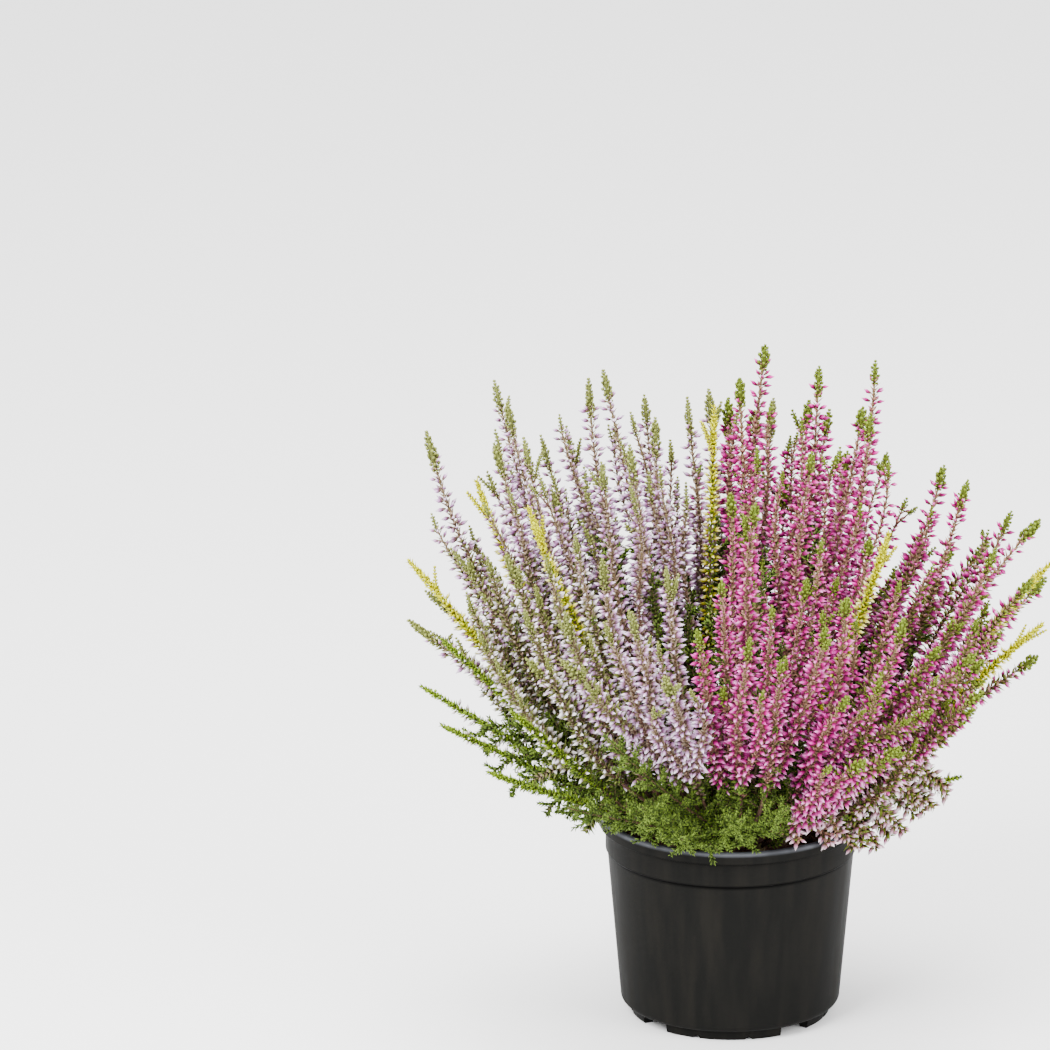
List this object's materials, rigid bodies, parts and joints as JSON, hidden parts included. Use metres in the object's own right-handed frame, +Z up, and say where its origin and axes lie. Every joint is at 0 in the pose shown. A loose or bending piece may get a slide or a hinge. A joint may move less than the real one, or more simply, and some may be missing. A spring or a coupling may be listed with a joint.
{
  "type": "potted heather",
  "caption": "Bud heather with pink, lilac, gold and green shoots fanning out of peat in a tapered black moulded pot.",
  "frame": {"origin": "on the pot's axis, level with the underside of its feet", "axes": "+Z up, -Y the front that the picture shows, +X to its right"},
  "size_m": [0.29, 0.2374, 0.3051],
  "materials": {
    "black_pot": "satin",
    "peat": "matte",
    "pink_flowers": "matte",
    "lilac_flowers": "matte",
    "gold_shoots": "matte",
    "green_shoots": "matte"
  },
  "bodies": {
    "root": {"gold_branch_01": "gold_shoots", "gold_branch_02": "gold_shoots", "gold_branch_03": "gold_shoots", "gold_branch_04": "gold_shoots", "green_branch_01": "green_shoots", "green_branch_02": "green_shoots", "green_branch_03": "green_shoots", "green_branch_04": "green_shoots", "green_branch_05": "green_shoots", "green_branch_06": "green_shoots", "green_branch_07": "green_shoots", "green_branch_08": "green_shoots", "green_branch_09": "green_shoots", "lilac_branch_01": "lilac_flowers", "lilac_branch_02": "lilac_flowers", "lilac_branch_03": "lilac_flowers", "lilac_branch_04": "lilac_flowers", "lilac_branch_05": "lilac_flowers", "lilac_branch_06": "lilac_flowers", "lilac_branch_07": "lilac_flowers", "lilac_branch_08": "lilac_flowers", "lilac_branch_09": "lilac_flowers", "lilac_branch_10": "lilac_flowers", "lilac_branch_11": "lilac_flowers", "lilac_branch_12": "lilac_flowers", "lilac_branch_13": "lilac_flowers", "lilac_branch_14": "lilac_flowers", "lilac_branch_15": "lilac_flowers", "lilac_branch_16": "lilac_flowers", "peat": "peat", "pink_branch_01": "pink_flowers", "pink_branch_02": "pink_flowers", "pink_branch_03": "pink_flowers", "pink_branch_04": "pink_flowers", "pink_branch_05": "pink_flowers", "pink_branch_06": "pink_flowers", "pink_branch_07": "pink_flowers", "pink_branch_08": "pink_flowers", "pink_branch_09": "pink_flowers", "pink_branch_10": "pink_flowers", "pink_branch_11": "pink_flowers", "pink_branch_12": "pink_flowers", "pink_branch_13": "pink_flowers", "pink_branch_14": "pink_flowers", "pink_branch_15": "pink_flowers", "pink_branch_16": "pink_flowers", "pink_branch_17": "pink_flowers", "pink_branch_18": "pink_flowers", "pink_branch_19": "pink_flowers", "pink_branch_20": "pink_flowers", "pink_branch_21": "pink_flowers", "pink_branch_22": "pink_flowers", "pot": "black_pot"}
  },
  "joints": []
}
